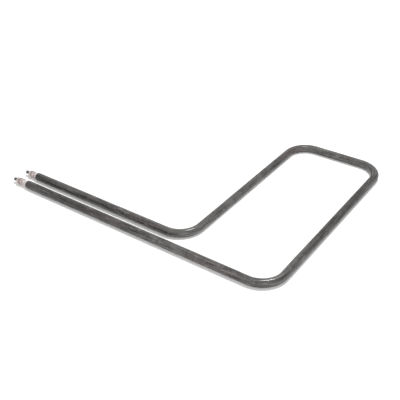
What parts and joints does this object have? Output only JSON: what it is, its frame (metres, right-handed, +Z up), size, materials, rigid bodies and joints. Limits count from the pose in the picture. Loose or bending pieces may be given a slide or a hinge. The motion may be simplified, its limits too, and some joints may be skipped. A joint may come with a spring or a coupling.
{
  "type": "tubular heating element",
  "caption": "Bent steel-sheathed tubular heating element: parallel straight legs, an offset rectangular loop and stud terminals with ceramic bushings and nuts.",
  "frame": {"origin": "on the surface the element lies on, below the middle of its outline", "axes": "+X from the terminals along the legs to the loop, +Y from the near leg to the far side of the loop, +Z up"},
  "size_m": [0.3072, 0.231, 0.008],
  "materials": {
    "oxidised_steel": "dark oxidised drawn tube, dull",
    "magnesia": "compacted powder, matte",
    "resistance_wire": "bright drawn nickel-chromium wire",
    "pin_steel": "drawn rod",
    "seal_resin": "cast silicone resin",
    "bushing_ceramic": "unglazed steatite",
    "nickel_plate": "nickel plated steel",
    "spring_steel": "dark spring steel",
    "stud_steel": "dull rolled thread"
  },
  "bodies": {
    "root": {"sheath": "oxidised_steel", "magnesia_fill": "magnesia", "resistance_coil": "resistance_wire", "near_cold_pin": "pin_steel", "near_end_seal": "seal_resin", "near_bushing": "bushing_ceramic", "near_stud": "stud_steel", "near_inner_washer": "nickel_plate", "near_outer_washer": "nickel_plate", "near_lock_washer": "spring_steel", "near_inner_nut": "nickel_plate", "near_outer_nut": "nickel_plate", "far_cold_pin": "pin_steel", "far_end_seal": "seal_resin", "far_bushing": "bushing_ceramic", "far_stud": "stud_steel", "far_inner_washer": "nickel_plate", "far_outer_washer": "nickel_plate", "far_lock_washer": "spring_steel", "far_inner_nut": "nickel_plate", "far_outer_nut": "nickel_plate"}
  },
  "joints": []
}
